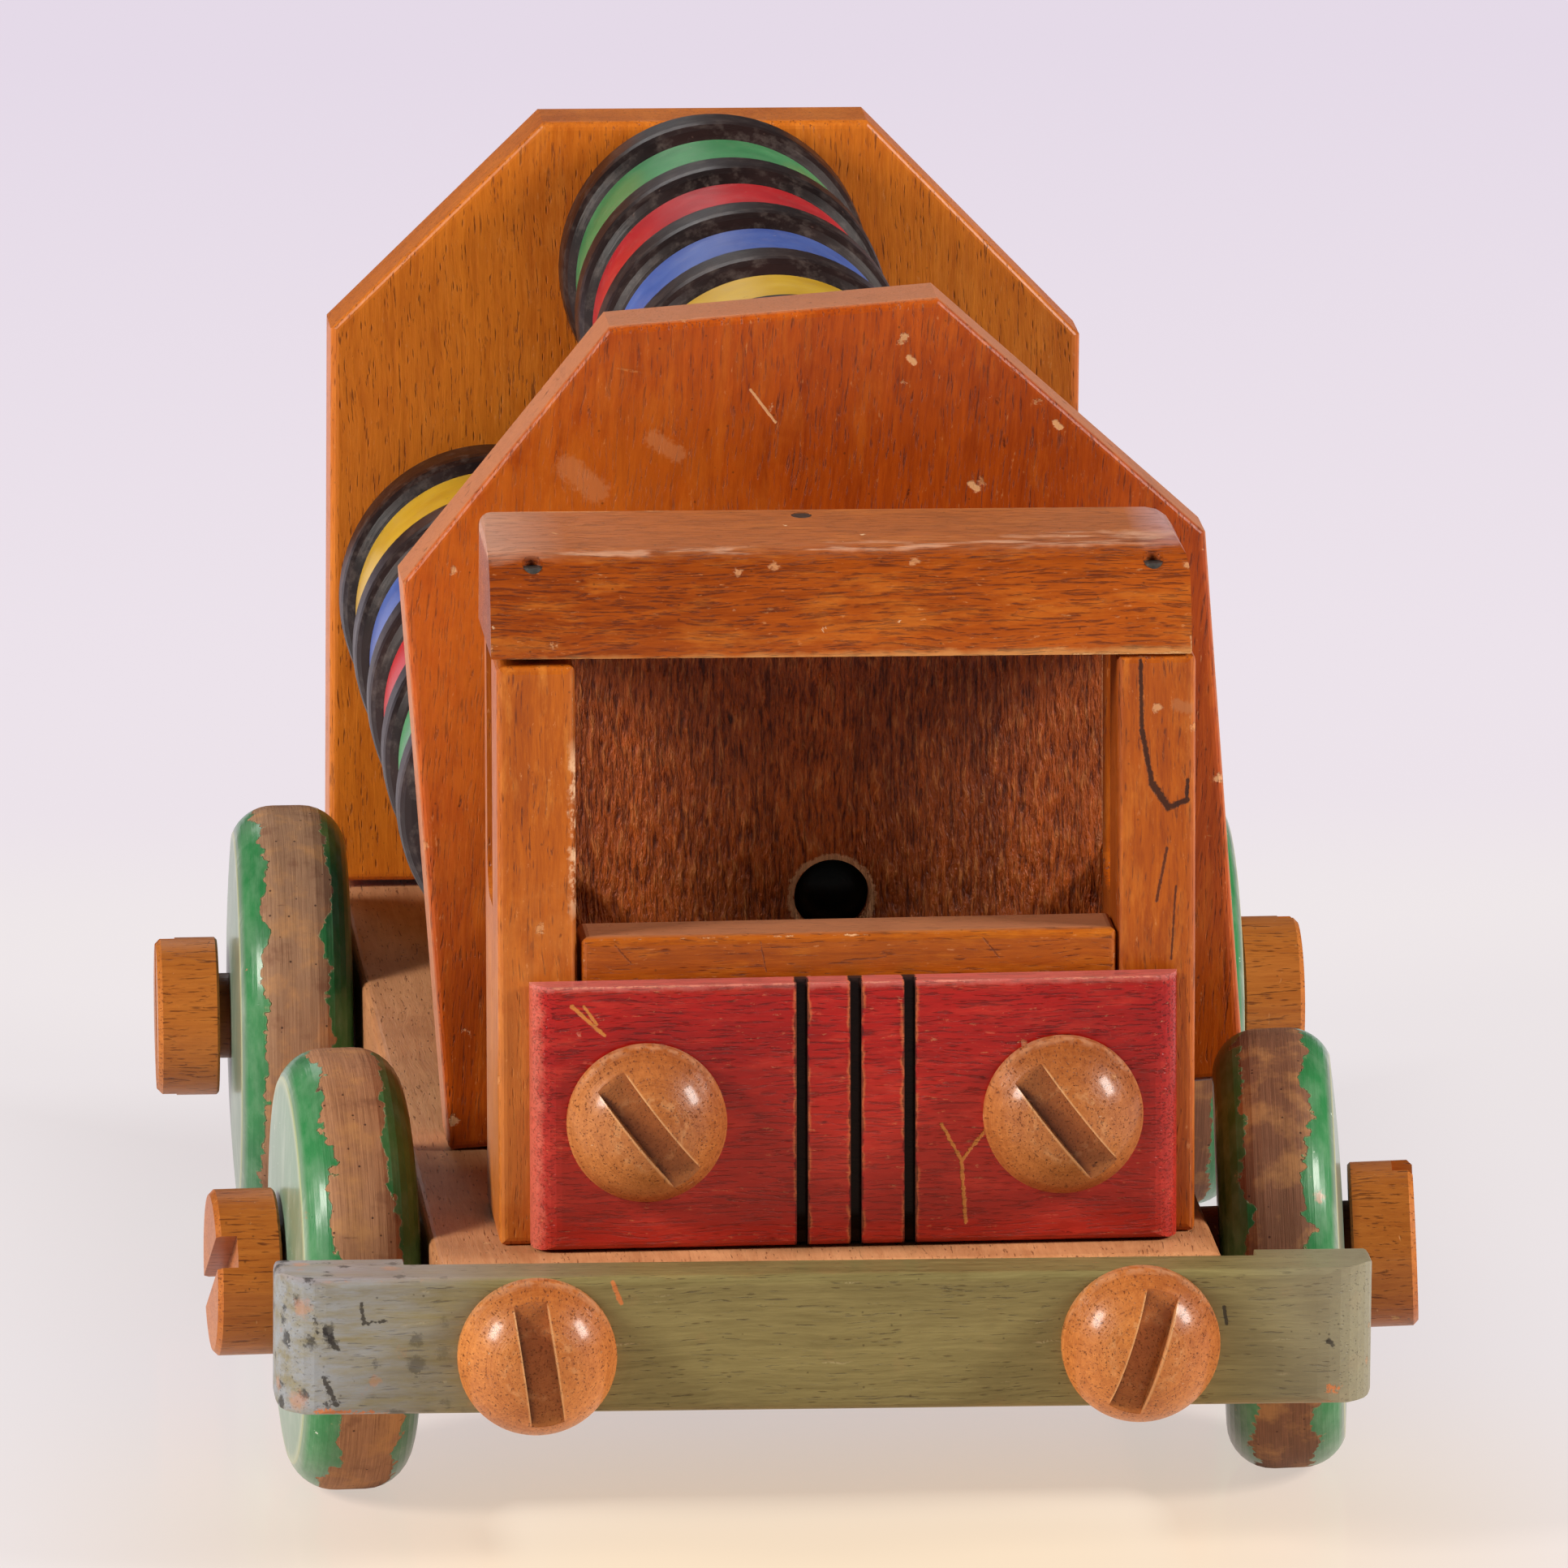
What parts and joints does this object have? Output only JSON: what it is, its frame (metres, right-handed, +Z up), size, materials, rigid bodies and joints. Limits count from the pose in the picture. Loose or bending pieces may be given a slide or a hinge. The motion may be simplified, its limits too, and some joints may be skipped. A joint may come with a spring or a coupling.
{
  "type": "wooden toy truck",
  "caption": "Old wooden toy truck: turned wheels on slotted wooden screws, round-nosed cab, red grille, and striped rollers between two upright plates.",
  "frame": {"origin": "on the ground, midway between the outer ends of the axle screws and midway along the truck", "axes": "+Z up, -Y towards the truck's front, +X towards the truck's own left"},
  "size_m": [0.1657, 0.2613, 0.158],
  "materials": {
    "deck_wood": "matt worn bare wood",
    "bumper_paint": "worn olive paint on wood",
    "bumper_screw_wood": "waxed turned wood",
    "axle_screw_wood": "waxed turned wood",
    "front_left_wheel_paint": "flaking green paint on wood",
    "front_right_wheel_paint": "flaking green paint on wood",
    "rear_left_wheel_paint": "flaking green paint on wood",
    "rear_right_wheel_paint": "flaking green paint on wood",
    "left_side_wood": "worn orange varnish",
    "right_side_wood": "worn orange varnish",
    "front_panel_wood": "worn orange varnish",
    "back_wall_wood": "rough weathered wood",
    "peg_paint": "dark green stain",
    "roof_wood": "worn orange varnish",
    "nail_steel": "dull steel",
    "grille_paint": "glossy red paint on wood",
    "headlight_screw_wood": "waxed turned wood",
    "front_plate_wood": "orange-brown varnish",
    "rear_plate_wood": "orange-brown varnish",
    "rod_wood": "plain dowel",
    "black_paint": "satin black paint on wood",
    "green_paint": "satin paint on wood",
    "red_paint": "satin paint on wood",
    "blue_paint": "satin paint on wood",
    "yellow_paint": "satin paint on wood"
  },
  "bodies": {
    "chassis": {"deck": "deck_wood", "bumper": "bumper_paint", "bumper_screws": "bumper_screw_wood", "axle_screws": "axle_screw_wood", "cab_side_left": "left_side_wood", "cab_side_right": "right_side_wood", "cab_front_panel": "front_panel_wood", "cab_back_wall": "back_wall_wood", "cab_peg": "peg_paint", "roof": "roof_wood", "roof_nails": "nail_steel", "grille_block": "grille_paint", "headlight_screws": "headlight_screw_wood", "front_plate": "front_plate_wood", "rear_plate": "rear_plate_wood", "deck_nails": "nail_steel", "rod_top": "rod_wood", "rod_left": "rod_wood", "rod_right": "rod_wood"},
    "wheel_front_left": {"wheel_front_left": "front_left_wheel_paint"},
    "wheel_front_right": {"wheel_front_right": "front_right_wheel_paint"},
    "wheel_rear_left": {"wheel_rear_left": "rear_left_wheel_paint"},
    "wheel_rear_right": {"wheel_rear_right": "rear_right_wheel_paint"},
    "roller_top": {"black_discs_top": "black_paint", "disc_green_top": "green_paint", "disc_red_top": "red_paint", "disc_blue_top": "blue_paint", "disc_yellow_top": "yellow_paint"},
    "roller_left": {"black_discs_left": "black_paint", "disc_green_left": "green_paint", "disc_red_left": "red_paint", "disc_blue_left": "blue_paint", "disc_yellow_left": "yellow_paint"},
    "roller_right": {"black_discs_right": "black_paint", "disc_green_right": "green_paint", "disc_red_right": "red_paint", "disc_blue_right": "blue_paint", "disc_yellow_right": "yellow_paint"}
  },
  "joints": [
    {"name": "wheel_front_left_roll", "type": "hinge", "parent": "chassis", "child": "wheel_front_left", "pos_m": [0.064, -0.07125, 0.03007], "axis": [0.9953, -0.0871, 0.0419], "continuous": true},
    {"name": "wheel_front_right_roll", "type": "hinge", "parent": "chassis", "child": "wheel_front_right", "pos_m": [-0.0643, -0.07125, 0.03], "axis": [0.9991, 0.0419, 0], "continuous": true},
    {"name": "wheel_rear_left_roll", "type": "hinge", "parent": "chassis", "child": "wheel_rear_left", "pos_m": [0.0643, 0.08075, 0.03], "axis": [1, 0, 0], "continuous": true},
    {"name": "wheel_rear_right_roll", "type": "hinge", "parent": "chassis", "child": "wheel_rear_right", "pos_m": [-0.0633, 0.08075, 0.03], "axis": [0.9998, -0.0175, 0], "continuous": true},
    {"name": "roller_top_spin", "type": "hinge", "parent": "chassis", "child": "roller_top", "pos_m": [0.0004, 0.04125, 0.1322], "axis": [0, 1, 0], "continuous": true},
    {"name": "roller_left_spin", "type": "hinge", "parent": "chassis", "child": "roller_left", "pos_m": [0.0324, 0.04125, 0.0843], "axis": [0, 1, 0], "continuous": true},
    {"name": "roller_right_spin", "type": "hinge", "parent": "chassis", "child": "roller_right", "pos_m": [-0.0316, 0.04125, 0.0843], "axis": [0, 1, 0], "continuous": true}
  ]
}
